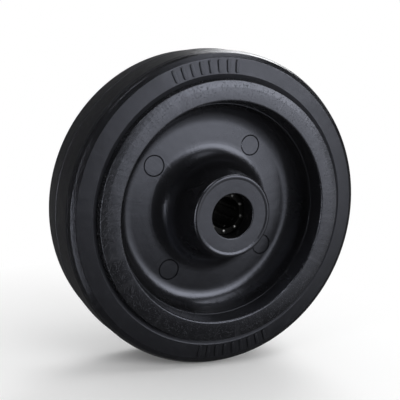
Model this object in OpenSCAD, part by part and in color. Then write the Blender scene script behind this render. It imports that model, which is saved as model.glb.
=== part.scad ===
// Rubber trolley wheel: a solid rubber tyre keyed into the rim of a moulded plastic wheel centre,
// with a caged roller bearing in the hub's bore.
// The wheel stands upright. Its centre is the origin, its axle lies along Y, and its front faces -Y.

/* [Tyre] */
// Diameter over the tread
tread_d = 125; // [110:0.5:160]
// Height of the tread above the rim's two flanges
rubber_h = 11.65; // [10.8:0.05:14]
// Width of the tread's flat
tread_w = 23.2; // [18:0.2:25]
// Width over the lips of the two side faces
tyre_w = 31; // [29:0.5:33]
// How far the shoulder's crease lies inside the tread
crease_in = 1.5; // [0.8:0.1:2.5]
// How far the shoulder's crease lies beyond the tread's flat
crease_out = 1.9; // [1:0.1:2.4]
// How far the side face's outer edge lies inside the tread
side_in = 3.6; // [3:0.1:5]
// How far the side face falls from its lip to its outer edge
side_fall = 0.7; // [0.2:0.1:1.2]
// Radius that blends the side face into the shoulder
side_blend = 3; // [0.5:0.5:4]
// Width of the groove between the rim and the tyre's lip
groove_w = 2.25; // [1.5:0.05:3]
// Depth of that groove below the lip
groove_depth = 2.5; // [1:0.1:3]
// Radius at the bottom of the groove
groove_r = 0.7; // [0.3:0.1:1]
// Gap between the tyre's foot and the rim's channel
seat_clear = 0.05; // [0.02:0.01:0.2]

/* [Rim] */
// Width of the rim
rim_w = 36; // [32:0.5:40]
// Width of the rim's face, from its mouth to its flange
rim_face_w = 7.7; // [6:0.1:10]
// Draft of the wall inside the rim, in degrees
rim_draft = 10.8; // [4:0.2:12]
// Depth of the thin mould step in that wall below the rim's face
step_depth = 6.4; // [4:0.1:8]
// Height of that step
step_h = 0.15; // [0.05:0.05:0.3]
// How far the rim's crowned face falls to its bevel
crown_fall = 0.25; // [0.1:0.05:0.5]
// Width of the bevel at the rim's outer edge
bevel_w = 2.45; // [1.5:0.05:3]
// How far that bevel falls
bevel_fall = 0.75; // [0.3:0.05:1.2]
// Width of the channel that holds the tyre's foot
channel_w = 24; // [20:0.5:25]
// Depth of that channel below the flanges
channel_depth = 2.45; // [1.5:0.05:3]

/* [Web] */
// Thickness of the web halfway between the hub and the rim
web_t = 4.8; // [3.5:0.1:8]
// Slope of each web face, falling outwards, in degrees
web_slope = 2.2; // [0:0.2:3]
// Fillet between the web and the hub
hub_fillet = 8; // [4:0.5:9]
// Fillet between the web and the rim
rim_fillet = 5.4; // [3:0.2:7]
// Diameter of each ejector pin's mark
pin_d = 8.3; // [5:0.1:9]
// How far the pin marks lie outside the middle of the web
pin_out = 0.375; // [-1:0.125:1]
// Depth of a pin mark halfway across it
pin_depth = 0.2; // [0.18:0.01:0.4]
// Number of pin marks
pin_count = 4; // [2:1:8]
// Angle of the first pin mark, from +X towards +Z
pin_angle = 57.7; // [0:0.1:360]

/* [Hub] */
// Length of the hub over its end beads
hub_len = 45; // [40:0.5:52]
// Diameter of the hub at its ends
hub_d = 32.2; // [30:0.1:36]
// Draft of the hub's outside, in degrees
hub_draft = 7.7; // [2:0.1:8]
// Radius round each end of the hub
hub_round = 1.5; // [0.5:0.1:1.8]
// Diameter of the recessed face inside each end bead
recess_d = 27.8; // [24:0.1:28]
// Depth of that recess
recess_depth = 0.25; // [0.1:0.05:0.5]
// Diameter of the bore that the rollers run in
bore_d = 17.2; // [16.6:0.1:20]
// Radius round each mouth of the bore
mouth_round = 0.5; // [0.2:0.1:1]

/* [Roller bearing] */
// Diameter of the axle that the bearing takes
axle_d = 12; // [11:0.1:12.4]
// Gap between the axle and the rollers
axle_clear = 0.11; // [0.05:0.01:0.2]
// Gap between the rollers and the bore
run_clear = 0.03; // [0.02:0.01:0.08]
// Number of rollers
roller_count = 9; // [7:1:9]
// Length of a roller
roller_len = 24.2; // [15:0.1:30]
// Chamfer at each end of a roller
roller_chamfer = 0.2; // [0.1:0.05:0.4]
// End play of a roller in its pocket, at each end
roller_play = 0.2; // [0.1:0.05:0.5]
// Gap between a roller and its pocket's wall
pocket_clear = 0.06; // [0.03:0.01:0.12]
// Thickness of the cage's end rings
ring_t = 3.2; // [2:0.1:4]
// Gap between the axle and the cage
cage_in_clear = 0.3; // [0.2:0.05:0.5]
// Gap between the cage and the bore
cage_out_clear = 0.25; // [0.1:0.05:0.4]

/* [Hidden] */

// Degrees of arc that one straight stretch of a fillet stands for, wide and small fillets
fillet_step = 9;
edge_step = 30;
small_r = 1;
// Rounding of moulded edges that are all but sharp
soft_edge = 0.35;
// Share of a wall that a fillet may take
fillet_share = 0.48;
// Width of the little slope that climbs to the hub's end bead
bead_slope = 0.3;
// Length of a cutter that reaches well past what it cuts
past = 30;
// The rim's crowned face: the share of its fall at its middle, and the largest radius along it
crown_share = 0.2;
crown_r = 30;

tread_r = tread_d / 2;
flange_r = tread_r - rubber_h;
flange_h = rim_w / 2 - crown_fall - bevel_fall;
seat_r = flange_r - channel_depth;
lip_r = flange_r + groove_w;
lip_h = tyre_w / 2;
groove_h = lip_h - groove_depth;
bevel_r = flange_r - bevel_w;
mouth_r = flange_r - rim_face_w;
hub_r = hub_d / 2;
hub_h = hub_len / 2;
recess_r = recess_d / 2;
face_h = hub_h - recess_depth;
bore_r = bore_d / 2;
axle_r = axle_d / 2;

// The bearing: rollers fill the space between the axle and the bore
roller_r = (bore_r - run_clear - axle_r - axle_clear) / 2;
pitch_r = bore_r - run_clear - roller_r;
pocket_len = roller_len + 2 * roller_play;
cage_len = pocket_len + 2 * ring_t;
cage_in_r = axle_r + cage_in_clear;
cage_out_r = bore_r - cage_out_clear;

// The web's face: its height at a radius, then the corners that it makes with the hub and the rim
web_mid_r = (hub_r + mouth_r) / 2;
pin_r = web_mid_r + pin_out;
function web_h(r) = web_t / 2 - (r - web_mid_r) * tan(web_slope);
hub_root_r = (hub_r + (hub_h - web_h(0)) * tan(hub_draft)) / (1 + tan(web_slope) * tan(hub_draft));
step_r = mouth_r - step_depth * tan(rim_draft);
low_wall_r = step_r - step_h;
low_wall_h = rim_w / 2 - step_depth;
rim_root_r = (low_wall_r - (low_wall_h - web_h(0)) * tan(rim_draft)) / (1 - tan(web_slope) * tan(rim_draft));

// A corner [radius from axis, height, fillet] of an outline, as the points of its fillet
function unit(v) = v / norm(v);
function place(p) = [p.x, p.y];
function fillet(a, b, c) =
    let (back = place(a) - place(b))
    let (on = place(c) - place(b))
    let (half = acos(unit(back) * unit(on)) / 2)
    let (reach = min(b.z / tan(half), fillet_share * min(norm(back), norm(on))))
    let (r = reach * tan(half))
    let (middle = place(b) + unit(unit(back) + unit(on)) * r / sin(half))
    let (from = place(b) + unit(back) * reach - middle)
    let (to = place(b) + unit(on) * reach - middle)
    let (start = atan2(from.y, from.x))
    let (turn = (atan2(to.y, to.x) - start + 540) % 360 - 180)
    let (steps = ceil(abs(turn) / (r < small_r ? edge_step : fillet_step)))
    [for (k = [0:steps]) middle + r * [cos(start + turn * k / steps), sin(start + turn * k / steps)]];

// A row of corners as points. The first and last corners only show the way the outline goes on.
function rounded(corners) =
    [for (i = [1:len(corners) - 2])
        for (p = corners[i].z > 0 ? fillet(corners[i - 1], corners[i], corners[i + 1]) : [place(corners[i])]) p];

// The front half of an outline together with its mirror image behind the wheel's centre
function both_sides(half) = concat(half, [for (i = [len(half) - 1:-1:0]) [half[i].x, -half[i].y]]);

// What is turned about the wheel's axis: heights in the outline are distances in front of the centre
module about_axle() {
    rotate([90, 0, 0])
        children();
}

module tyre() {
    foot_r = seat_r + seat_clear;
    foot_h = channel_w / 2 - seat_clear;
    neck_r = flange_r + seat_clear;
    crease_h = tread_w / 2 + crease_out;
    half = rounded([
        [foot_r, 0],
        [foot_r, foot_h, soft_edge],
        [neck_r, foot_h, 0],
        [neck_r, groove_h, 0],
        [neck_r + groove_r, groove_h, groove_r],
        [lip_r, lip_h, soft_edge],
        [tread_r - side_in, lip_h - side_fall, side_blend],
        [tread_r - crease_in, crease_h, 0],
        [tread_r, tread_w / 2, small_r],
        [tread_r, 0]
    ]);
    color("#2b2b2d")
        about_axle()
            rotate_extrude($fn = 180)
                polygon(both_sides(half));
}

module pin_marks() {
    for (i = [0:pin_count - 1])
        rotate([0, 0, pin_angle + i * 360 / pin_count])
            translate([pin_r, 0, web_h(pin_r) - pin_depth])
                cylinder(d = pin_d, h = past, $fn = 48);
}

module wheel_centre() {
    half = rounded([
        [bore_r, 0],
        [bore_r, face_h, mouth_round],
        [recess_r, face_h, 0],
        [recess_r + bead_slope, hub_h, 0],
        [hub_r, hub_h, hub_round],
        [hub_root_r, web_h(hub_root_r), hub_fillet],
        [rim_root_r, web_h(rim_root_r), rim_fillet],
        [low_wall_r, low_wall_h, 0],
        [step_r, low_wall_h, 0],
        [mouth_r, rim_w / 2, soft_edge],
        [(mouth_r + bevel_r) / 2, rim_w / 2 - crown_share * crown_fall, crown_r],
        [bevel_r, rim_w / 2 - crown_fall, 0],
        [flange_r, flange_h, soft_edge],
        [flange_r, channel_w / 2, 0],
        [seat_r, channel_w / 2, soft_edge],
        [seat_r, 0]
    ]);
    color("#3a3b40")
        about_axle()
            difference() {
                rotate_extrude($fn = 180)
                    polygon(both_sides(half));
                pin_marks();
            }
}

// Places its children on the circle that the rollers run on
module at_roller(i) {
    rotate([0, 0, 90 + (i - 1) * 360 / roller_count])
        translate([pitch_r, 0, 0])
            children();
}

module roller_cage() {
    color("#202022")
        about_axle()
            difference() {
                cylinder(r = cage_out_r, h = cage_len, center = true, $fn = 96);
                cylinder(r = cage_in_r, h = cage_len + past, center = true, $fn = 96);
                for (i = [1:roller_count])
                    at_roller(i)
                        cylinder(r = roller_r + pocket_clear, h = pocket_len, center = true, $fn = 48);
            }
}

module roller(i) {
    half_len = roller_len / 2;
    color("#8d8f93")
        about_axle()
            at_roller(i)
                rotate_extrude($fn = 48)
                    polygon([
                        [0, -half_len],
                        [roller_r - roller_chamfer, -half_len],
                        [roller_r, roller_chamfer - half_len],
                        [roller_r, half_len - roller_chamfer],
                        [roller_r - roller_chamfer, half_len],
                        [0, half_len]
                    ]);
}

tyre();
wheel_centre();
roller_cage();
for (i = [1:roller_count])
    roller(i);
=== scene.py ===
# The looks of a rubber trolley wheel: tyre, moulded centre, caged rollers, floor, lights and camera.
import math
from typing import NamedTuple

import bpy
from bpy.props import FloatProperty, FloatVectorProperty, IntProperty, PointerProperty
from bpy.types import Operator, Panel, PropertyGroup
from mathutils import Matrix, Vector


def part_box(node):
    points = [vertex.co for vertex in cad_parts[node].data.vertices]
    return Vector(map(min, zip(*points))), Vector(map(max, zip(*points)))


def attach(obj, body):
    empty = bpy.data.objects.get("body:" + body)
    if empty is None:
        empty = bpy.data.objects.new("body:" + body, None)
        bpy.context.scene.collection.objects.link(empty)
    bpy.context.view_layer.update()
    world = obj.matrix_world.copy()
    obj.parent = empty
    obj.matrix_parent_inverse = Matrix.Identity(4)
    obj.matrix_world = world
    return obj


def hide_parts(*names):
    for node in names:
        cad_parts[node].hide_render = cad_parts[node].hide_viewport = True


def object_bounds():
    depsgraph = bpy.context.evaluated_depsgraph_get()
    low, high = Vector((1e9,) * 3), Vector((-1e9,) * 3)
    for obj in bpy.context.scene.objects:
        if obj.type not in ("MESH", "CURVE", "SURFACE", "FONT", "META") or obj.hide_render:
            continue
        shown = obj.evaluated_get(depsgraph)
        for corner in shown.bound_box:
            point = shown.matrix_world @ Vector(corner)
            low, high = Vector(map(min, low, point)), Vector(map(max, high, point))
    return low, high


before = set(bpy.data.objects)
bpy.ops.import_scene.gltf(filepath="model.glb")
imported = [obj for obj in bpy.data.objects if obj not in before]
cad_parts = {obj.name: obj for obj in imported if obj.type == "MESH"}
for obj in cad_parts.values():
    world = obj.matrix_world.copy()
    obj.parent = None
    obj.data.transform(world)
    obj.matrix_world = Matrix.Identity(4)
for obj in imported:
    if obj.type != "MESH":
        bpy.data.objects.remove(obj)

bl_info = {
    "name": "Rubber trolley wheel",
    "version": (1, 0, 0),
    "blender": (4, 5, 0),
    "location": "3D View > Sidebar > Trolley Wheel",
    "description": "Builds the tyre, wheel centre and roller bearing of a trolley wheel on its packed frame",
    "category": "Add Mesh",
}

# What the frame gives: the whole box, and the sizes that the outlines below are worked out from.
# A distance in front of the wheel's middle plane is called a height, and the front faces -Y.
CAD_BOX = [list(corner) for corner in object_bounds()]
MM = 0.001
TURN = 2 * math.pi
TREAD_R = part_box("tyre")[1].x
FLANGE_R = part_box("wheel_centre")[1].x
HUB_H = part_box("wheel_centre")[1].y
CAGE_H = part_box("roller_cage")[1].y
ROLLER_NODES = sorted(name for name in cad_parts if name.startswith("roller_") and name[-1].isdigit())
ROLLER_BODIES = {node: "%s_body" % node for node in ROLLER_NODES}
ROLLER_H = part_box(ROLLER_NODES[0])[1].y

# How far the tyre stays clear of the wheel centre that it grips
TYRE_CLEAR = 0.05 * MM
# The turn from one point of a rounded corner to the next, and the least angle between faces of a sharp edge
ARC_STEP = math.radians(7.5)
SHARP_EDGE = math.radians(32)
WHITE = (1.0, 1.0, 1.0, 1.0)
BLACK = (0.0, 0.0, 0.0, 1.0)


def amount(name, description, value, **limits):
    """A number."""
    return FloatProperty(name=name, description=description, default=value, **limits)


def length(name, description, size):
    """A length in millimetres as a property in metres."""
    return amount(name, description, size * MM, min=0.0, precision=5, subtype="DISTANCE", unit="LENGTH")


def angle(name, description, degrees):
    """An angle in degrees as a property in radians."""
    return amount(name, description, math.radians(degrees), subtype="ANGLE", unit="ROTATION")


def level(name, description, value):
    """A number from 0 up."""
    return amount(name, description, value, min=0.0)


def share(name, description, value):
    """A number from 0 to 1."""
    return amount(name, description, value, min=0.0, max=1.0, subtype="FACTOR")


def amounts(name, description, values, **limits):
    """Two or three numbers."""
    return FloatVectorProperty(name=name, description=description, default=values, size=len(values), **limits)


def pair(name, description, values):
    """Two numbers from 0 to 1, the lower one first."""
    return amounts(name, description, values, min=0.0, max=1.0)


def colour(name, description, values):
    """A linear colour."""
    return amounts(name, description, values, min=0.0, max=1.0, subtype="COLOR")


def count(name, description, value, least=0):
    """A whole number."""
    return IntProperty(name=name, description=description, default=value, min=least)


class TyreSizes(PropertyGroup):
    """The tyre's outline, and the raised ribs on its side faces."""

    tread_w: length("Tread width", "Width of the tread's flat", 23.2)
    tread_fall: length("Tread fall", "How far each half of the tread falls from the parting line", 0.45)
    flash_w: length("Flash width", "Width of the thin ridge at the parting line", 0.3)
    flash_h: length("Flash height", "Height of that ridge", 0.1)
    lip_w: length("Lip width", "Width over the lips of the two side faces", 31.0)
    tread_edge: length("Tread edge", "Rounding of the tread's edges", 1.0)
    shoulder_in: length("Shoulder depth", "How far the shoulder's corner lies inside the tread", 1.7)
    shoulder_out: length("Shoulder reach", "How far that corner lies beyond the tread's flat", 2.3)
    shoulder_edge: length("Shoulder edge", "Rounding of that corner", 0.35)
    side_in: length("Side edge depth", "How far the side face's outer edge lies inside the tread", 3.4)
    side_fall: length("Side fall", "How far the side face falls from its lip to its outer edge", 0.7)
    side_blend: length("Side blend", "Radius that blends the side face into the shoulder", 1.0)
    groove_w: length("Groove width", "Width of the groove between the rim and the tyre's lip", 2.25)
    groove_depth: length("Groove depth", "Depth of that groove below the lip", 1.1)
    groove_r: length("Groove radius", "Radius at the bottom of the groove", 0.2)
    columns: count("Columns", "Steps round the tyre", 384, 64)
    rib_inner: length("Rib inner end", "Radius at which the raised ribs of the front begin", 53.6)
    rib_outer: length("Rib outer end", "Radius at which those ribs end", 58.5)
    rib_w: length("Rib width", "Width of a rib", 1.3)
    rib_h: length("Rib height", "Height of a rib above the side face", 0.5)
    rib_edge: length("Rib edge", "Rounding of a rib's edges", 0.15)
    rib_step: angle("Rib step", "Angle from one rib to the next", 3.8)
    top_ribs_at: angle("Upper ribs", "Angle of the middle of the upper row of ribs", 103.0)
    top_ribs: count("Upper rib count", "Ribs in the upper row", 8)
    low_ribs_at: angle("Lower ribs", "Angle of the middle of the lower row of ribs", 279.0)
    low_ribs: count("Lower rib count", "Ribs in the lower row", 9)


class CentreSizes(PropertyGroup):
    """The outline of the moulded wheel centre."""

    rim_w: length("Rim width", "Width of the rim", 36.0)
    face_w: length("Rim face", "Width of the rim's face, from its mouth to its flange", 7.7)
    rim_draft: angle("Rim draft", "Draft of the wall inside the rim", 10.8)
    step_depth: length("Step depth", "Depth of the thin mould step in that wall", 6.4)
    step_h: length("Step height", "Height of that step", 0.15)
    crown_fall: length("Crown fall", "How far the rim's crowned face falls to its bevel", 0.2)
    bevel_w: length("Bevel width", "Width of the bevel at the rim's outer edge", 2.45)
    bevel_fall: length("Bevel fall", "How far that bevel falls", 0.36)
    skirt_out: length("Flange skirt", "How far the flange's wall slopes out to the tyre's groove", 0.6)
    channel_w: length("Channel width", "Width of the channel that holds the tyre's foot", 24.0)
    channel_depth: length("Channel depth", "Depth of that channel below the flanges", 2.45)
    web_t: length("Web thickness", "Thickness of the web halfway between hub and rim", 4.8)
    web_slope: angle("Web slope", "Slope of each web face, falling outwards", 2.2)
    hub_fillet: length("Hub fillet", "Fillet between the web and the hub", 9.5)
    rim_fillet: length("Rim fillet", "Fillet between the web and the rim", 7.2)
    hub_r: length("Hub radius", "Radius of the hub at its ends", 16.1)
    hub_draft: angle("Hub draft", "Draft of the hub's outside", 7.7)
    hub_round: length("Hub edge", "Radius round each end of the hub", 1.1)
    recess_r: length("Recess radius", "Radius of the recessed face inside each end bead", 14.1)
    recess_depth: length("Recess depth", "Depth of that recess", 0.25)
    bead_slope: length("Bead slope", "Width of the slope that climbs to the end bead", 0.8)
    bore_r: length("Bore radius", "Radius of the bore that the rollers run in", 8.6)
    mouth_round: length("Bore edge", "Radius round each mouth of the bore", 0.5)
    mouth_edge: length("Rim edge", "Radius round the inner edge of the rim's face", 0.8)
    flange_edge: length("Flange edge", "Radius round the outer edge of the rim's face", 0.35)
    soft_edge: length("Soft edge", "Rounding of edges that are all but sharp", 0.35)
    pin_r: length("Pin circle", "Radius of the circle that the ejector pins' marks lie on", 30.0)
    pin_d: length("Pin diameter", "Diameter of an ejector pin's mark", 8.3)
    pin_line: length("Pin line width", "Width of the thin line round a mark", 0.5)
    pin_line_depth: length("Pin line depth", "Depth of that line", 0.4)
    pin_sink: length("Pin sink", "How far the mark itself lies below the web", 0.05)
    pin_angle: angle("Pin angle", "Angle of the first mark, from +X towards +Z", 57.7)
    pin_count: count("Pin marks", "Number of ejector pin marks", 4, 1)


class BearingSizes(PropertyGroup):
    """Small forms of the cage and its rollers."""

    cage_edge: length("Cage edge", "Rounding of the cage's edges", 0.12)
    roller_edge: length("Roller edge", "Rounding of a roller's ends", 0.22)
    mark_r: length("Centre mark radius", "Radius of the shallow mark in a roller's end", 0.5)
    mark_depth: length("Centre mark depth", "Depth of that mark", 0.12)
    bar_end_r: length("Bar end radius", "Radius of the rounded ends of the cage's bars", 0.95)
    bar_end_h: length("Bar end height", "Height of those ends", 0.5)
    roller_columns: count("Roller columns", "Steps round a roller", 40, 12)


class FinishSettings(PropertyGroup):
    """Colours and finish of rubber, plastic and steel.

    A roughness with two numbers is the least and the most. A spread is how high the noise is where a mark
    begins to show, and where it shows in full.
    """

    # The reflection tint is painted cool light: it puts the cool colour of the studio's light into what
    # rubber and plastic reflect
    tint: colour("Reflection tint", "Cool tint of what rubber and plastic reflect", (0.8, 0.84, 1.0))
    rubber: colour("Rubber", "Colour of the tyre", (0.006, 0.006, 0.0068))
    rubber_dust: colour("Rubber dust", "Colour of the tyre where it is dusty", (0.011, 0.0112, 0.0125))
    dust_spread: pair("Dust spread", "Spread of the dust", (0.5, 0.85))
    rubber_sheen: share("Rubber sheen", "How strongly the tyre reflects", 0.41)
    rubber_rough: pair("Rubber roughness", "Roughness of the tyre", (0.3, 0.46))
    groove_rough: share("Groove roughness", "Roughness of the dull rubber in the groove beside the rim", 0.6)
    shoulder_rough: share("Shoulder polish", "Share of its roughness that the tyre's shoulder keeps", 0.42)
    plastic: colour("Plastic", "Colour of the wheel centre", (0.0045, 0.0045, 0.005))
    plastic_worn: colour("Worn plastic", "Colour of scuffed and scratched plastic", (0.05, 0.051, 0.056))
    plastic_sheen: share("Plastic sheen", "How strongly the wheel centre reflects", 0.55)
    plastic_rough: pair("Plastic roughness", "Roughness of the wheel centre", (0.22, 0.29))
    worn_rough: share("Worn roughness", "Roughness that wear adds to the plastic", 0.14)
    scratches: share("Scratches", "Strength of the slanting scratches on the rim's face", 0.6)
    scratch_spread: pair("Scratch spread", "Spread of the scratches", (0.58, 0.72))
    scratch_way: angle("Scratched side", "Angle of the middle of the scratched part of the face", 195.0)
    scratch_reach: pair(
        "Scratch reach", "Cosine of the angle from there at which scratches begin, and are full", (0.82, 0.97)
    )
    scratch_lean: amount("Scratch lean", "Lean of scratches, in radians for each metre of radius", 26.0)
    specks: share("Specks", "Strength of the fine specks on the rim's face", 0.75)
    speck_spread: pair("Speck spread", "Spread of the specks", (0.56, 0.72))
    streaks: share("Streaks", "Strength of the streaks round the rim's face", 0.2)
    streak_spread: pair("Streak spread", "Spread of the streaks", (0.5, 0.75))
    rubbed: share("Rubbed edge", "Strength of the rubbed marks on the inner edge of the rim's face", 0.4)
    rubbed_spread: pair("Rubbed spread", "Spread of those marks", (0.5, 0.7))
    # The bore's low sheen is grease, and also painted shade in the deep bore
    bore_sheen: share("Bore sheen", "How strongly the greasy bore reflects", 0.05)
    # The cage's colour and low sheen are grease, and also painted shade deep in the bore
    greased_shaded_cage: colour("Greased cage", "Colour of the cage", (0.0025, 0.0025, 0.0024))
    cage_sheen: share("Cage sheen", "How strongly the cage reflects", 0.08)
    cage_rough: pair("Cage roughness", "Roughness of the cage", (0.28, 0.5))
    # The oiled steel colour is dark oil, and also painted shade deep in the bore
    oiled_shaded_steel: colour("Oiled steel", "Colour of a roller under dark oil", (0.03, 0.029, 0.027))
    steel: colour("Steel", "Colour of rollers and bar ends rubbed clean", (0.2, 0.2, 0.2))
    steel_rough: pair("Steel roughness", "Roughness of clean steel and of oiled steel", (0.3, 0.5))
    clean_spots: share("Clean spots", "How clean the spots are that show through the oil", 0.4)
    clean_spread: pair("Clean spread", "Spread of those spots", (0.45, 0.75))
    clean_ends: share("Clean ends", "How clean the ends of rollers are at least", 0.3)


class StageSizes(PropertyGroup):
    """The camera, the floor and the lights."""

    camera_at: amounts(
        "Camera place",
        "Where the camera stands",
        (-136.77 * MM, -269.59 * MM, 50.34 * MM),
        subtype="TRANSLATION",
        unit="LENGTH",
    )
    camera_turn: amounts(
        "Camera turn",
        "How the camera is turned",
        (math.radians(80.899), math.radians(-4.425), math.radians(-25.604)),
        subtype="EULER",
        unit="ROTATION",
    )
    camera_lens: level("Lens", "Focal length on a 36 mm wide film, in mm", 68.17)
    floor_size: length("Floor size", "Side of the square floor", 12000.0)
    floor_colour: colour("Floor colour", "Colour of the floor round the wheel", (0.9, 0.9, 0.9))
    floor_rough: share("Floor roughness", "Roughness of the floor", 0.9)
    fade_start: length("Fade start", "Distance at which the floor begins to fade to white", 60.0)
    fade_end: length("Fade end", "Distance at which it is white", 170.0)
    lamp_level: level("Lamp level", "Strength of all softboxes together", 1.0)
    world_level: level("World level", "Light that the world sends", 0.35)
    # The tent and the glows on its sheet paint shade and light into reflections: they glow, and only glossy
    # surfaces show them
    tent_size: length("Tent size", "Radius of the dark tent that shiny surfaces show", 2400.0)
    tent_level: level("Tent level", "Brightness of that tent", 0.085)
    glow_near: length("Glow start", "Distance at which the glows on the dark sheet begin", 80.0)
    glow_far: length("Glow end", "Distance at which they are at their brightest", 800.0)
    glow_growth: level("Glow growth", "Power by which they grow", 0.6)


def on_wheel(radius, way, height):
    """The point at a radius, an angle from +X towards +Z, and a height in front of the middle plane."""
    return Vector((radius * math.cos(way), -height, radius * math.sin(way)))


def corner_arc(before, at, after, radius):
    """The points of the arc that rounds an outline's corner."""
    before, at, after = Vector(before[:2]), Vector(at[:2]), Vector(after[:2])
    back = (before - at).normalized()
    on = (after - at).normalized()
    half = back.angle(on) / 2
    middle = at + (back + on).normalized() * radius / math.sin(half)
    start = at + back * radius / math.tan(half) - middle
    end = at + on * radius / math.tan(half) - middle
    first = math.atan2(start.y, start.x)
    turn = (math.atan2(end.y, end.x) - first + 3 * math.pi) % TURN - math.pi
    steps = max(2, math.ceil(abs(turn) / ARC_STEP))
    angles = [first + turn * k / steps for k in range(steps + 1)]
    return [middle + radius * Vector((math.cos(a), math.sin(a))) for a in angles]


def rounded(corners):
    """Corners (radius, height, rounding) as points. The first and last only show how the outline goes on."""
    points = []
    for before, at, after in zip(corners, corners[1:], corners[2:]):
        points += corner_arc(before, at, after, at[2]) if at[2] else [Vector(at[:2])]
    return points


def mirrored(half):
    """Half an outline seen in the middle plane, and run through the other way."""
    return [Vector((p.x, -p.y)) for p in reversed(half)]


def new_piece(name, points, faces, finish):
    """A smooth-shaded mesh object of one finish, with its edges sharp where its faces meet at an angle."""
    mesh = bpy.data.meshes.new(name)
    mesh.from_pydata(points, [], faces)
    mesh.validate()
    mesh.polygons.foreach_set("use_smooth", [True] * len(mesh.polygons))
    mesh.set_sharp_from_angle(angle=SHARP_EDGE)
    mesh.materials.append(finish)
    piece = bpy.data.objects.new(name, mesh)
    bpy.context.scene.collection.objects.link(piece)
    return piece


def turned(outline, columns, first=0.0, left_out=(), closed=True):
    """Points and faces of an outline turned about the axle, without the (row, column) faces left out.

    The outline's points are (radius, height). It runs so that the solid lies on its left, seen with radius to
    the right and height upwards. A closed outline goes on from its last point to its first.
    """
    rows = len(outline)
    points = [on_wheel(p.x, first + TURN * k / columns, p.y) for p in outline for k in range(columns)]
    faces = []
    for row in range(rows if closed else rows - 1):
        here = row * columns
        there = (row + 1) % rows * columns
        for k in range(columns):
            if (row, k) not in left_out:
                on = (k + 1) % columns
                faces.append((here + k, there + k, there + on, here + on))
    return points, faces


def wall(first, columns, rows):
    """That many rows of faces between rings of points, which follow one another from the first point on."""
    faces = []
    for row in range(rows):
        here = first + row * columns
        there = here + columns
        for k in range(columns):
            on = (k + 1) % columns
            faces.append((here + k, here + on, there + on, there + k))
    return faces


class WHEEL_OT_tyre(Operator):
    """Build the rubber tyre"""

    bl_idname = "trolley_wheel.tyre"
    bl_label = "Tyre"

    # Share of the groove's radius that keeps its arc clear of the wall beside it
    GROOVE_ROUND = 0.96
    RIB_END_STEPS = 8
    RIB_EDGE_TURNS = (0, 30, 60, 90)
    RIB_SINK = 0.15 * MM

    def outline(self, s, c):
        """The front half of the section, from the foot in the rim's channel to the middle of the tread."""
        foot_r = FLANGE_R - c.channel_depth + TYRE_CLEAR
        foot_h = c.channel_w / 2 - TYRE_CLEAR
        neck_r = FLANGE_R + TYRE_CLEAR
        lip_h = s.lip_w / 2
        groove_h = lip_h - s.groove_depth
        top = TREAD_R - s.flash_h
        edge_h = s.tread_w / 2
        return rounded([
            (foot_r, 0.0, 0.0),
            (foot_r, foot_h, c.soft_edge),
            (neck_r, foot_h, 0.0),
            (neck_r, groove_h, 0.0),
            (neck_r + s.groove_r, groove_h, s.groove_r * self.GROOVE_ROUND),
            (FLANGE_R + s.groove_w, lip_h, c.soft_edge),
            (TREAD_R - s.side_in, lip_h - s.side_fall, s.side_blend),
            (TREAD_R - s.shoulder_in, edge_h + s.shoulder_out, s.shoulder_edge),
            (top - s.tread_fall, edge_h, s.tread_edge),
            (top, s.flash_w, 0.0),
            (top, s.flash_w / 2, 0.0),
            (TREAD_R, s.flash_w / 4, 0.0),
            (TREAD_R, 0.0, 0.0),
        ])

    def rib(self, s, points, faces, at, axle_h, fall):
        """Adds one round-ended bar at an angle, on a side face that falls outwards from its axle height."""
        sections = [(0.0, -self.RIB_SINK)]
        for turn in map(math.radians, self.RIB_EDGE_TURNS):
            inset = s.rib_edge * (1 - math.cos(turn))
            sections.append((inset, s.rib_h - s.rib_edge * (1 - math.sin(turn))))
        ends = ((s.rib_outer - s.rib_w / 2, -math.pi / 2), (s.rib_inner + s.rib_w / 2, math.pi / 2))
        around = len(ends) * (self.RIB_END_STEPS + 1)
        first = len(points)
        for inset, height in sections:
            reach = s.rib_w / 2 - inset
            for end, start in ends:
                for k in range(self.RIB_END_STEPS + 1):
                    way = start + math.pi * k / self.RIB_END_STEPS
                    place = Vector((end + reach * math.cos(way), reach * math.sin(way)))
                    radius = place.length
                    turn = math.atan2(place.y, place.x)
                    points.append(on_wheel(radius, at + turn, axle_h - radius * fall + height))
        faces += wall(first, around, len(sections) - 1)
        faces.append(tuple(range(len(points) - around, len(points))))

    def execute(self, context):
        s = context.scene.wheel_tyre
        half = self.outline(s, context.scene.wheel_centre)
        points, faces = turned(half + mirrored(half), s.columns)
        lip_r = FLANGE_R + s.groove_w
        fall = s.side_fall / (TREAD_R - s.side_in - lip_r)
        axle_h = s.lip_w / 2 + lip_r * fall
        for middle, ribs in ((s.top_ribs_at, s.top_ribs), (s.low_ribs_at, s.low_ribs)):
            for k in range(ribs):
                at = middle + (k - (ribs - 1) / 2) * s.rib_step
                self.rib(s, points, faces, at, axle_h, fall)
        tyre = new_piece("rubber_tyre", points, faces, tyre_rubber())
        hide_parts("tyre")
        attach(tyre, "wheel")
        return {"FINISHED"}


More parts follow.
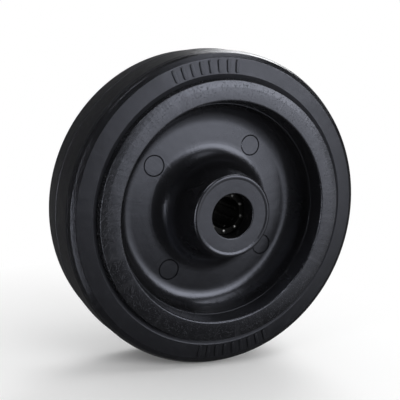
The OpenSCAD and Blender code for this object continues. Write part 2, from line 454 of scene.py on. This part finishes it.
class WHEEL_OT_centre(Operator):
    """Build the moulded wheel centre: hub, web and rim in one piece"""

    bl_idname = "trolley_wheel.centre"
    bl_label = "Wheel centre"

    COLUMNS = 320
    # The square of the web's mesh that each ejector pin's mark takes: its columns, and half of its side
    MARK_COLUMNS = 20
    MARK_REACH = 4.38 * MM
    # The rings of points inside a mark, as shares of its radius
    MARK_RINGS = (0.75, 0.4)
    FINE_EDGE = 0.1 * MM
    HAIR_EDGE = 0.05 * MM
    # The rim's face is crowned: how far it has fallen halfway, as a share of its fall, and its rounding there
    CROWN_SHARE = 0.2
    CROWN_ROUND = 30 * MM

    def outline(self, s, tyre):
        """The front half of the section, from the bore round the hub, web and rim to the tyre's channel."""
        face_h = HUB_H - s.recess_depth
        mouth_r = FLANGE_R - s.face_w
        bevel_r = FLANGE_R - s.bevel_w
        rim_h = s.rim_w / 2
        crown_h = rim_h - s.crown_fall * self.CROWN_SHARE
        bevel_h = rim_h - s.crown_fall
        skirt_h = tyre.lip_w / 2 - tyre.groove_depth + TYRE_CLEAR
        channel_r = FLANGE_R - s.channel_depth
        slope = math.tan(s.web_slope)
        draft = math.tan(s.hub_draft)
        rim_draft = math.tan(s.rim_draft)
        low_h = rim_h - s.step_depth
        step_r = mouth_r - s.step_depth * rim_draft
        low_r = step_r - s.step_h
        axle_h = self.web_height(s, 0.0)
        hub_root = (s.hub_r + (HUB_H - axle_h) * draft) / (1 + slope * draft)
        rim_root = (low_r - (low_h - axle_h) * rim_draft) / (1 - slope * rim_draft)
        return rounded([
            (s.bore_r, 0.0, 0.0),
            (s.bore_r, face_h, s.mouth_round),
            (s.recess_r, face_h, self.FINE_EDGE),
            (s.recess_r + s.bead_slope, HUB_H, self.FINE_EDGE),
            (s.hub_r, HUB_H, s.hub_round),
            (hub_root, self.web_height(s, hub_root), s.hub_fillet),
            (rim_root, self.web_height(s, rim_root), s.rim_fillet),
            (low_r, low_h, self.HAIR_EDGE),
            (step_r, low_h, self.HAIR_EDGE),
            (mouth_r, rim_h, s.mouth_edge),
            ((mouth_r + bevel_r) / 2, crown_h, self.CROWN_ROUND),
            (bevel_r, bevel_h, self.FINE_EDGE),
            (FLANGE_R, bevel_h - s.bevel_fall, s.flange_edge),
            (FLANGE_R + s.skirt_out, skirt_h, 0.0),
            (FLANGE_R, skirt_h, 0.0),
            (FLANGE_R, s.channel_w / 2, 0.0),
            (channel_r, s.channel_w / 2, s.soft_edge),
            (channel_r, 0.0, 0.0),
        ])

    def web_height(self, s, radius):
        """Height at a radius of the web's flat front face, which is also followed in to the axle."""
        halfway = (s.hub_r + FLANGE_R - s.face_w) / 2
        return s.web_t / 2 - (radius - halfway) * math.tan(s.web_slope)

    def height_at(self, s, half, radius):
        """Height of the half section at a radius between hub and rim."""
        steps = [step for step in zip(half, half[1:]) if step[0].x > s.hub_r]
        inner, outer = next((p, q) for p, q in steps if p.x <= radius < q.x)
        return inner.y + (outer.y - inner.y) * (radius - inner.x) / (outer.x - inner.x)

    def on_web(self, s, half, towards, p, depth):
        """The point p of a mark's own plane, on the web at the angle of that mark and at a depth below it."""
        at = Vector((s.pin_r + p.x, p.y))
        height = self.height_at(s, half, at.length) - depth
        return on_wheel(at.length, towards + math.atan2(at.y, at.x), height)

    def pin_mark(self, s, half, points, faces, border, towards):
        """Fills a gap in the web, whose border is a loop of points, with a round mark inside a thin line."""
        spin = Matrix.Rotation(-towards, 2)
        flat = [spin @ Vector((points[i].x, points[i].z)) - Vector((s.pin_r, 0.0)) for i in border]
        ways = [p.normalized() for p in flat]
        outer = s.pin_d / 2 + s.pin_line / 4
        inner = outer - s.pin_line
        circles = [(outer, 0.0), (outer - s.pin_line / 3, s.pin_line_depth), (inner, s.pin_sink)]
        circles += [(inner * part, s.pin_sink) for part in self.MARK_RINGS]
        rings = [([(p + way * outer) / 2 for p, way in zip(flat, ways)], 0.0)]
        rings += [([way * radius for way in ways], depth) for radius, depth in circles]
        before = border
        for ring, depth in rings:
            now = range(len(points), len(points) + len(ring))
            points += [self.on_web(s, half, towards, p, depth) for p in ring]
            faces += [(before[k - 1], before[k], now[k], now[k - 1]) for k in range(len(ring))]
            before = now
        points.append(self.on_web(s, half, towards, Vector((0.0, 0.0)), s.pin_sink))
        faces += [(before[k - 1], before[k], len(points) - 1) for k in range(len(before))]

    def execute(self, context):
        s = context.scene.wheel_centre
        side = self.MARK_COLUMNS
        half = self.outline(s, context.scene.wheel_tyre)
        marked = [s.pin_r + self.MARK_REACH * (2 * k / side - 1) for k in range(side + 1)]
        first_row = next(i for i, p in enumerate(half) if p.x > marked[0])
        next_row = next(i for i, p in enumerate(half) if p.x > marked[-1])
        web = [Vector((radius, self.height_at(s, half, radius))) for radius in marked]
        outline = half[:first_row] + web + half[next_row:]
        apart = self.COLUMNS // s.pin_count
        left_out = {
            (first_row + row, pin * apart + k)
            for pin in range(s.pin_count)
            for row in range(side)
            for k in range(side)
        }
        first = s.pin_angle - TURN * side / 2 / self.COLUMNS
        points, faces = turned(outline + mirrored(outline), self.COLUMNS, first, left_out)
        corners = ((0, 0, 0, 1), (0, side, 1, 0), (side, side, 0, -1), (side, 0, -1, 0))
        for pin in range(s.pin_count):
            border = [
                (first_row + row + down * k) * self.COLUMNS + pin * apart + column + along * k
                for row, column, down, along in corners
                for k in range(side)
            ]
            self.pin_mark(s, half, points, faces, border, s.pin_angle + TURN * pin / s.pin_count)
        centre = new_piece("moulded_centre", points, faces, moulded_plastic())
        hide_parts("wheel_centre")
        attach(centre, "wheel")
        return {"FINISHED"}


class WHEEL_OT_bearing(Operator):
    """Finish the cage and its rollers"""

    bl_idname = "trolley_wheel.bearing"
    bl_label = "Roller bearing"

    CAGE_EDGE_ANGLE = math.radians(40)
    # Shares of a bar end's height that is sunk in the cage, and of a centre mark's radius that is its floor
    BAR_END_SINK = 0.2
    MARK_FLOOR = 0.6
    DOME_COLUMNS = 20
    DOME_ROWS = 5

    def execute(self, context):
        s = context.scene.wheel_bearing
        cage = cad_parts["roller_cage"]
        cage.data.materials.clear()
        cage.data.materials.append(cage_plastic())
        edges = cage.modifiers.new("edges", "BEVEL")
        edges.width = s.cage_edge
        edges.segments = 2
        edges.limit_method = "ANGLE"
        edges.angle_limit = self.CAGE_EDGE_ANGLE
        steel = roller_steel()
        ends = self.bar_ends(s, steel)
        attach(ends, "cage")
        for node, body in ROLLER_BODIES.items():
            roller = self.roller(s, node, steel)
            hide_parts(node)
            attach(roller, body)
        return {"FINISHED"}

    def bar_ends(self, s, steel):
        """The rounded ends of the cage's bars, which show in its end rings halfway between the rollers."""
        low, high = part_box(ROLLER_NODES[0])
        first_roller = (low + high) / 2
        first = math.atan2(first_roller.z, first_roller.x)
        bars = len(ROLLER_NODES)
        points, faces = [], []
        for side in (1, -1):
            for bar in range(bars):
                way = first + TURN * (bar + 0.5) / bars
                self.dome(s, points, faces, on_wheel(first_roller.xz.length, way, 0.0), side)
        return new_piece("cage_bar_ends", points, faces, steel)

    def dome(self, s, points, faces, middle, side):
        """Adds one bar's end over a point of the middle plane, at the front (side 1) or back (side -1)."""
        columns = self.DOME_COLUMNS
        foot_h = CAGE_H - s.bar_end_h * self.BAR_END_SINK
        start = len(points)
        for row in range(self.DOME_ROWS):
            tilt = math.pi / 2 * row / self.DOME_ROWS
            reach = s.bar_end_r * math.cos(tilt)
            height = foot_h + s.bar_end_h * math.sin(tilt)
            for k in range(columns):
                turn = side * TURN * k / columns
                points.append(middle + on_wheel(reach, turn, side * height))
        faces += wall(start, columns, self.DOME_ROWS - 1)
        last = len(points) - columns
        top = len(points)
        points.append(middle + on_wheel(0.0, 0.0, side * (foot_h + s.bar_end_h)))
        faces += [(last + k, last + (k + 1) % columns, top) for k in range(columns)]

    def roller(self, s, node, steel):
        """A ground roller in its node's place, with rounded edges and a shallow centre mark in each end."""
        low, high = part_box(node)
        middle = (low + high) / 2
        radius = (high.x - low.x) / 2
        half_w = (high.y - low.y) / 2
        floor_h = half_w - s.mark_depth
        end = rounded([
            (radius, 0.0, 0.0),
            (radius, half_w, s.roller_edge),
            (s.mark_r, half_w, 0.0),
            (s.mark_r * self.MARK_FLOOR, floor_h, 0.0),
            (0.0, floor_h, 0.0),
        ])
        columns = s.roller_columns
        points, faces = turned(mirrored(end) + end, columns, closed=False)
        points = [middle + p for p in points]
        faces.append(tuple(range(columns)))
        faces.append(tuple(reversed(range(len(points) - columns, len(points)))))
        return new_piece("bearing_" + node, points, faces, steel)


class Texture(NamedTuple):
    """Lumps of noise in a surface.

    Their size, how many times they are halved into finer ones, how strong those are, how many times finer
    the lumps are along the wheel's radius than round the wheel, and their depth where they are bumps.
    """

    size: float
    detail: float = 2.0
    rough: float = 0.5
    stretch: float = 1.0
    depth: float = 0.0


RUBBER_CLOUD = Texture(size=11 * MM, detail=4.0, rough=0.6, depth=0.2 * MM)
RUBBER_PATCHES = Texture(size=3 * MM, detail=3.0, rough=0.6)
RUBBER_GRAIN = Texture(size=0.4 * MM, depth=0.01 * MM)
TURNING_MARKS = Texture(size=1.1 * MM, detail=3.0, rough=0.6, stretch=9.0, depth=0.05 * MM)
PLASTIC_WAVE = Texture(size=12 * MM, detail=3.0, rough=0.6, depth=0.14 * MM)
PLASTIC_GRAIN = Texture(size=0.35 * MM, depth=0.005 * MM)
PLASTIC_FLOW = Texture(size=2.2 * MM, detail=3.0, rough=0.65, stretch=0.16, depth=0.04 * MM)
SCRATCHES = Texture(size=0.7 * MM, rough=0.6, stretch=0.3)
SPECKS = Texture(size=0.5 * MM, detail=4.0, rough=0.8)
RUBBED_MARKS = Texture(size=1.5 * MM, detail=3.0)
CAGE_GREASE = Texture(size=2.5 * MM, detail=3.0, depth=0.03 * MM)
ROLLER_OIL = Texture(size=1.2 * MM, detail=3.0, depth=0.02 * MM)
WEAR_DEPTH = 0.05 * MM

# Noise lies mostly between these two
NOISE_LEAST = 0.3
NOISE_MOST = 0.7

# Where parts of a surface begin and end: two distances from the radius or the height that bounds each
GROOVE_FADE = (-0.4 * MM, 0.1 * MM)
SIDE_FADE = (-0.3 * MM, 0.1 * MM)
SHOULDER_FADE = (0.3 * MM, 0.9 * MM)
MOUTH_FADE = (-0.1 * MM, 0.3 * MM)
MOUTH_EDGE_FADE = (0.3 * MM, 0.7 * MM)
BORE_FADE = (0.1 * MM, 0.4 * MM)
HUB_END_FADE = (-1.0 * MM, -0.4 * MM)
ROLLER_END_FADE = (-0.5 * MM, -0.1 * MM)
# How ragged the edge of the scuffs at the rim's mouth is
RAGGED_EDGE = 0.25 * MM


class Nodes:
    """The nodes of a material or of the world. Masks are numbers from nought to one."""

    def __init__(self, tree):
        self.tree = tree

    def fill(self, node, inputs):
        """Sets each input to a value, or links it from another node's socket."""
        for key, value in inputs.items():
            if isinstance(value, bpy.types.NodeSocket):
                self.tree.links.new(value, node.inputs[key])
            else:
                node.inputs[key].default_value = value

    def add(self, kind, inputs=None, **settings):
        """Adds a node and returns it."""
        node = self.tree.nodes.new(kind)
        for key, value in settings.items():
            setattr(node, key, value)
        self.fill(node, inputs or {})
        return node

    def maths(self, operation, *values):
        """The result of one sum on numbers."""
        return self.add("ShaderNodeMath", dict(enumerate(values)), operation=operation).outputs["Value"]

    def vectors(self, operation, *values, result="Vector"):
        """The result of one sum on points or directions."""
        return self.add("ShaderNodeVectorMath", dict(enumerate(values)), operation=operation).outputs[result]

    def times(self, number, *others):
        """Numbers multiplied."""
        for other in others:
            number = self.maths("MULTIPLY", number, other)
        return number

    def largest(self, number, *others):
        """The largest of some numbers."""
        for other in others:
            number = self.maths("MAXIMUM", number, other)
        return number

    def between(self, number, low, high, start=NOISE_LEAST, end=NOISE_MOST):
        """Goes from low to high as the number goes from start to end."""
        limits = {"From Min": start, "From Max": end, "To Min": low, "To Max": high}
        return self.add("ShaderNodeMapRange", {"Value": number, **limits}).outputs["Result"]

    def mixed(self, mask, low, high):
        """Goes from low to high as the mask goes from nought to one."""
        return self.between(mask, low, high, 0.0, 1.0)

    def rising(self, number, fade, place=0.0):
        """A mask that grows from nought to one over the fade, whose limits are measured from the place."""
        return self.between(number, 0.0, 1.0, place + fade[0], place + fade[1])

    def falling(self, number, fade, place=0.0):
        """A mask that shrinks from one to nought over the fade."""
        return self.between(number, 1.0, 0.0, place + fade[0], place + fade[1])

    def seen(self):
        """One for what the camera sees, at first hand or in shiny or clear surfaces, and nought otherwise."""
        path = self.add("ShaderNodeLightPath").outputs
        return self.largest(path["Is Camera Ray"], path["Is Glossy Ray"], path["Is Transmission Ray"])


class Finish(Nodes):
    """A material round one principled shader. Its patterns lie in the object's own frame."""

    def __init__(self, name, **inputs):
        self.material = bpy.data.materials.new(name)
        self.material.use_nodes = True
        super().__init__(self.material.node_tree)
        self.shader = self.tree.nodes["Principled BSDF"]
        self.where = self.add("ShaderNodeTexCoord").outputs["Object"]
        self.fill(self.shader, {key.replace("_", " "): value for key, value in inputs.items()})

    def noise(self, texture, where=None):
        """Noise of that texture, from nought to one."""
        inputs = {"Scale": 1 / texture.size, "Detail": texture.detail, "Roughness": texture.rough}
        return self.add("ShaderNodeTexNoise", {"Vector": where or self.where, **inputs}).outputs["Fac"]

    def blend(self, mask, low, high, start=0.0, end=1.0):
        """A colour that goes from low to high as the mask goes from start to end."""
        ramp = self.add("ShaderNodeValToRGB", {"Fac": mask})
        for element, place, value in zip(ramp.color_ramp.elements, (start, end), (low, high)):
            element.position = place
            element.color = (*value, 1.0)
        return ramp.outputs["Color"]

    def flat(self, axis="Y"):
        """Where a point is on the plane across that axis. The wheel's axle is the Y axis."""
        return self.vectors("MULTIPLY", self.where, [float(name != axis) for name in "XYZ"])

    def radius(self, axis="Y"):
        """Distance from that axis."""
        return self.vectors("LENGTH", self.flat(axis), result="Value")

    def height(self):
        """Distance from the wheel's middle plane, at the front or at the back."""
        return self.maths("ABSOLUTE", self.add("ShaderNodeSeparateXYZ", {"Vector": self.where}).outputs["Y"])

    def facing_way(self, way, axis="Y"):
        """One in a direction from that axis, at an angle from +X, and less away from it."""
        across, up = math.cos(way), math.sin(way)
        towards = (across, up, 0.0) if axis == "Z" else (across, 0.0, up)
        out = self.vectors("NORMALIZE", self.flat(axis))
        return self.vectors("DOT_PRODUCT", out, towards, result="Value")

    def noise_round(self, texture, ring, lean=0.0):
        """Noise that runs round the wheel without a seam, and has its own size on a ring of that radius.

        The lean, in radians for each metre of radius, slants it.
        """
        radius = self.radius()
        out = self.vectors("NORMALIZE", self.flat())
        if lean:
            slant = {"Vector": out, "Angle": self.times(radius, lean)}
            out = self.add("ShaderNodeVectorRotate", slant, rotation_type="Y_AXIS").outputs["Vector"]
        along = self.maths("ADD", self.times(radius, texture.stretch), self.height())
        across = self.add("ShaderNodeCombineXYZ", {"Y": along}).outputs["Vector"]
        return self.noise(texture, self.vectors("ADD", self.vectors("MULTIPLY", out, [ring] * 3), across))

    def bumps(self, *layers):
        """Bumps on bumps. Each layer is a height from nought to one and its depth, the coarsest first."""
        normal = {}
        for height, depth in layers:
            bump = self.add("ShaderNodeBump", {"Height": height, "Distance": depth, **normal})
            normal = {"Normal": bump.outputs["Normal"]}
        return normal["Normal"]


def tyre_rubber():
    """Black moulded rubber: satin, cloudy, finely grained, a little dusty, and polished on its shoulder."""
    s = bpy.context.scene.wheel_finish
    tyre = bpy.context.scene.wheel_tyre
    # Its specular tint is painted cool light
    f = Finish("tyre rubber", Specular_IOR_Level=s.rubber_sheen, Specular_Tint=(*s.tint, 1.0))
    cloud = f.noise(RUBBER_CLOUD)
    patches = f.noise(RUBBER_PATCHES)
    grain = f.noise(RUBBER_GRAIN)
    turned_marks = f.noise_round(TURNING_MARKS, TREAD_R)
    satin = f.between(f.times(f.maths("ADD", cloud, patches), 0.5), *s.rubber_rough)
    radius = f.radius()
    in_groove = f.falling(radius, GROOVE_FADE, FLANGE_R + tyre.groove_w)
    past_side = f.rising(radius, SIDE_FADE, TREAD_R - tyre.side_in)
    on_shoulder = f.times(past_side, f.falling(radius, SHOULDER_FADE, TREAD_R - tyre.shoulder_in))
    dulled = f.largest(satin, f.times(in_groove, s.groove_rough))
    f.fill(f.shader, {
        "Base Color": f.blend(patches, s.rubber, s.rubber_dust, *s.dust_spread),
        "Roughness": f.times(dulled, f.mixed(on_shoulder, 1.0, s.shoulder_rough)),
        "Normal": f.bumps(
            (cloud, RUBBER_CLOUD.depth), (turned_marks, TURNING_MARKS.depth), (grain, RUBBER_GRAIN.depth)
        ),
    })
    return f.material


def moulded_plastic():
    """Black satin plastic with the waves of moulding, a scuffed and speckled rim face, and a greasy bore
    whose dull reflection is also painted shade.
    """
    s = bpy.context.scene.wheel_finish
    c = bpy.context.scene.wheel_centre
    # Its specular tint is painted cool light
    f = Finish("moulded plastic", Specular_IOR_Level=s.plastic_sheen, Specular_Tint=(*s.tint, 1.0))
    radius = f.radius()
    wave = f.noise(PLASTIC_WAVE)
    grain = f.noise(PLASTIC_GRAIN)
    flow = f.noise_round(PLASTIC_FLOW, FLANGE_R)

    # The rim's face begins at its mouth, with a ragged edge
    mouth_r = FLANGE_R - c.face_w
    ragged = f.maths("ADD", radius, f.between(grain, -RAGGED_EDGE, RAGGED_EDGE))
    on_face = f.rising(ragged, MOUTH_FADE, mouth_r)
    on_edge = f.times(on_face, f.falling(ragged, MOUTH_EDGE_FADE, mouth_r))

    # Slanting scratches on one side of the face, and streaks, specks and a rubbed edge all round
    slant = f.noise_round(SCRATCHES, FLANGE_R, s.scratch_lean)
    scratched_side = f.rising(f.facing_way(s.scratch_way), s.scratch_reach)
    scratches = f.times(f.rising(slant, s.scratch_spread), scratched_side, s.scratches)
    streaks = f.times(f.rising(flow, s.streak_spread), s.streaks)
    specks = f.times(f.rising(f.noise(SPECKS), s.speck_spread), s.specks)
    rubbed = f.times(f.rising(f.noise(RUBBED_MARKS), s.rubbed_spread), s.rubbed)
    worn = f.largest(f.times(f.largest(scratches, streaks, specks), on_face), f.times(rubbed, on_edge))

    # Dark grease fills the bore as far as its lip, and the bore's dull reflection there is also painted shade
    # of the deep bore
    in_bore = f.times(f.falling(radius, BORE_FADE, c.bore_r), f.falling(f.height(), HUB_END_FADE, HUB_H))
    f.fill(f.shader, {
        "Specular IOR Level": f.mixed(in_bore, s.plastic_sheen, s.bore_sheen),
        "Base Color": f.blend(worn, s.plastic, s.plastic_worn),
        "Roughness": f.maths("ADD", f.between(wave, *s.plastic_rough), f.times(worn, s.worn_rough)),
        "Normal": f.bumps(
            (wave, PLASTIC_WAVE.depth),
            (flow, PLASTIC_FLOW.depth),
            (grain, PLASTIC_GRAIN.depth),
            (worn, WEAR_DEPTH),
        ),
    })
    return f.material


def cage_plastic():
    """Dark plastic under dark grease, dark and dull also as painted shade deep in the bore."""
    s = bpy.context.scene.wheel_finish
    f = Finish("cage plastic", Base_Color=(*s.greased_shaded_cage, 1.0), Specular_IOR_Level=s.cage_sheen)
    grease = f.noise(CAGE_GREASE)
    f.fill(f.shader, {
        "Roughness": f.between(grease, *s.cage_rough),
        "Normal": f.bumps((grease, CAGE_GREASE.depth)),
    })
    return f.material


def roller_steel():
    """Ground steel, dulled by dark oil and darkened further as painted shade deep in the bore, and brighter
    where its ends rub clean.
    """
    s = bpy.context.scene.wheel_finish
    f = Finish("roller steel", Metallic=1.0)
    oil = f.noise(ROLLER_OIL)
    spots = f.times(f.rising(oil, s.clean_spread), s.clean_spots)
    ends = f.times(f.rising(f.height(), ROLLER_END_FADE, ROLLER_H), f.between(oil, s.clean_ends, 1.0))
    clean = f.largest(spots, ends)
    f.fill(f.shader, {
        "Base Color": f.blend(clean, s.oiled_shaded_steel, s.steel),
        "Roughness": f.mixed(clean, s.steel_rough[1], s.steel_rough[0]),
        "Normal": f.bumps((oil, ROLLER_OIL.depth)),
    })
    return f.material


class Softbox(NamedTuple):
    """A flat lamp that faces the wheel.

    Its way is a compass angle from +X and its tilt is upwards, both in degrees. Its sizes are in metres.
    """

    name: str
    way: float
    tilt: float
    width: float
    height: float
    brightness: float


class Glow(NamedTuple):
    """A painted glow on the dark sheet, an emitting patch seen only in reflections, with its compass angle
    and half its spread in degrees.
    """

    way: float
    half_spread: float
    brightness: float


SOFTBOX_DISTANCE = 1.5
SOFTBOXES = (
    Softbox("key softbox", way=301.0, tilt=19.5, width=1.05, height=0.57, brightness=6.8),
    Softbox("top softbox", way=337.0, tilt=62.0, width=0.5, height=0.5, brightness=5.0),
    Softbox("key skirt", way=299.0, tilt=3.2, width=1.1, height=0.29, brightness=2.8),
    Softbox("back softbox", way=50.0, tilt=40.0, width=0.75, height=0.8, brightness=6.0),
    Softbox("side softbox", way=18.0, tilt=32.0, width=0.7, height=0.9, brightness=1.2),
    Softbox("left strip", way=205.0, tilt=10.0, width=0.12, height=0.6, brightness=22.0),
)
# Painted reflections of light: the first two carry on below a softbox, and the third is faint light from
# behind, on the left
GLOWS = (
    Glow(way=304.0, half_spread=24.0, brightness=2.2),
    Glow(way=205.0, half_spread=3.0, brightness=22.0),
    Glow(way=135.0, half_spread=40.0, brightness=0.05),
)
GLOW_SOFTNESS = 6.0


class WHEEL_OT_stage(Operator):
    """Set up the floor, the lights and the camera"""

    bl_idname = "trolley_wheel.stage"
    bl_label = "Stage"

    FILM_W = 36.0
    NEAREST_SEEN = 1 * MM
    # How far the dark sheet lies above the floor
    SHEET_GAP = 0.2 * MM
    TENT_COLUMNS = 32
    TENT_ROWS = 8

    def execute(self, context):
        scene = context.scene
        s = scene.wheel_stage
        scene.view_settings.view_transform = "Standard"
        self.camera(scene, s)
        self.floor(s)
        self.softboxes(scene, s)
        self.tent(s)
        self.world(scene, s)
        return {"FINISHED"}

    def camera(self, scene, s):
        """The camera stands where the photograph was taken from."""
        data = bpy.data.cameras.new("camera")
        data.lens = s.camera_lens
        data.sensor_width = self.FILM_W
        data.clip_start = self.NEAREST_SEEN
        camera = bpy.data.objects.new("camera", data)
        camera.location = s.camera_at
        camera.rotation_euler = s.camera_turn
        scene.collection.objects.link(camera)
        scene.camera = camera

    def floor(self, s):
        """A pale floor that keeps the wheel's shadow and fades into the white background."""
        half = s.floor_size / 2
        corners = [(x * half, y * half, CAD_BOX[0][2]) for x, y in ((-1, -1), (1, -1), (1, 1), (-1, 1))]
        f = Finish(
            "floor", Base_Color=(*s.floor_colour, 1.0), Roughness=s.floor_rough, Specular_IOR_Level=0.0
        )
        away = f.vectors("LENGTH", f.where, result="Value")
        faded = f.times(f.rising(away, (s.fade_start, s.fade_end)), f.seen())
        white = f.add("ShaderNodeEmission", {"Color": WHITE, "Strength": 1.0}).outputs["Emission"]
        mix = f.add("ShaderNodeMixShader", {0: faded, 1: f.shader.outputs["BSDF"], 2: white})
        f.fill(f.tree.nodes["Material Output"], {"Surface": mix.outputs["Shader"]})
        new_piece("floor", corners, [(0, 1, 2, 3)], f.material)

    def softboxes(self, scene, s):
        """The lamps, each at its own angle and facing the wheel."""
        for box in SOFTBOXES:
            data = bpy.data.lights.new(box.name, "AREA")
            data.shape = "RECTANGLE"
            data.size = box.width
            data.size_y = box.height
            data.energy = box.brightness * s.lamp_level * math.pi * box.width * box.height
            raised = Matrix.Rotation(math.radians(-box.tilt), 3, "Y") @ Vector((1.0, 0.0, 0.0))
            out = Matrix.Rotation(math.radians(box.way), 3, "Z") @ raised
            lamp = bpy.data.objects.new(box.name, data)
            lamp.location = out * SOFTBOX_DISTANCE
            lamp.rotation_euler = out.to_track_quat("Z", "Y").to_euler()
            scene.collection.objects.link(lamp)

    def tent(self, s):
        """Painted reflections: a dark tent over a dark sheet with glowing patches, both seen in glossy
        surfaces only.
        """
        low = CAD_BOX[0][2] + self.SHEET_GAP
        points = []
        for row in range(self.TENT_ROWS + 1):
            tilt = math.pi / 2 * row / self.TENT_ROWS
            reach = s.tent_size * math.cos(tilt)
            height = low + s.tent_size * math.sin(tilt)
            for k in range(self.TENT_COLUMNS):
                way = TURN * k / self.TENT_COLUMNS
                points.append((reach * math.cos(way), reach * math.sin(way), height))
        faces = [tuple(range(self.TENT_COLUMNS))] + wall(0, self.TENT_COLUMNS, self.TENT_ROWS)
        # A painted reflection: black and glowing faintly, brighter in the glowing patches
        f = Finish("painted reflection tent", Base_Color=BLACK, Specular_IOR_Level=0.0, Emission_Color=WHITE)
        away = f.radius("Z")
        grown = f.maths("POWER", f.rising(away, (s.glow_near, s.glow_far)), s.glow_growth)
        glow = f.times(grown, f.falling(away, (0.0, s.glow_near), 2 * s.glow_far))
        strength = s.tent_level
        for patch in GLOWS:
            limits = [math.cos(math.radians(patch.half_spread + more)) for more in (GLOW_SOFTNESS, 0.0)]
            towards = f.rising(f.facing_way(math.radians(patch.way), "Z"), limits)
            strength = f.maths("MULTIPLY_ADD", glow, f.times(towards, patch.brightness), strength)
        f.fill(f.shader, {"Emission Strength": strength})
        tent = new_piece("painted_reflection_tent", points, faces, f.material)
        tent.visible_camera = False
        tent.visible_diffuse = False
        tent.visible_shadow = False
        tent.visible_transmission = False

    def world(self, scene, s):
        """A white background that lights the wheel only faintly."""
        world = bpy.data.worlds.new("studio")
        world.use_nodes = True
        f = Nodes(world.node_tree)
        strength = f.mixed(f.seen(), s.world_level, 1.0)
        f.fill(f.tree.nodes["Background"], {"Color": WHITE, "Strength": strength})
        scene.world = world


class WHEEL_PT_build(Panel):
    """Lists what builds the wheel and its stage"""

    bl_label = "Trolley Wheel"
    bl_idname = "WHEEL_PT_build"
    bl_space_type = "VIEW_3D"
    bl_region_type = "UI"
    bl_category = "Trolley Wheel"

    def draw(self, context):
        for operator in BUILDERS:
            self.layout.operator(operator.bl_idname)


SETTINGS = {
    "wheel_tyre": TyreSizes,
    "wheel_centre": CentreSizes,
    "wheel_bearing": BearingSizes,
    "wheel_finish": FinishSettings,
    "wheel_stage": StageSizes,
}
BUILDERS = (WHEEL_OT_tyre, WHEEL_OT_centre, WHEEL_OT_bearing, WHEEL_OT_stage)


def register():
    """Registers the classes and hangs the settings on the scene."""
    for part in (*SETTINGS.values(), *BUILDERS, WHEEL_PT_build):
        bpy.utils.register_class(part)
    for name, group in SETTINGS.items():
        setattr(bpy.types.Scene, name, PointerProperty(type=group))


def unregister():
    """Takes the settings off the scene and unregisters the classes."""
    for name in SETTINGS:
        delattr(bpy.types.Scene, name)
    for part in reversed((*SETTINGS.values(), *BUILDERS, WHEEL_PT_build)):
        bpy.utils.unregister_class(part)


def main():
    """Builds the wheel and its stage."""
    register()
    bpy.ops.trolley_wheel.tyre()
    bpy.ops.trolley_wheel.centre()
    bpy.ops.trolley_wheel.bearing()
    bpy.ops.trolley_wheel.stage()


if __name__ == "__main__":
    main()
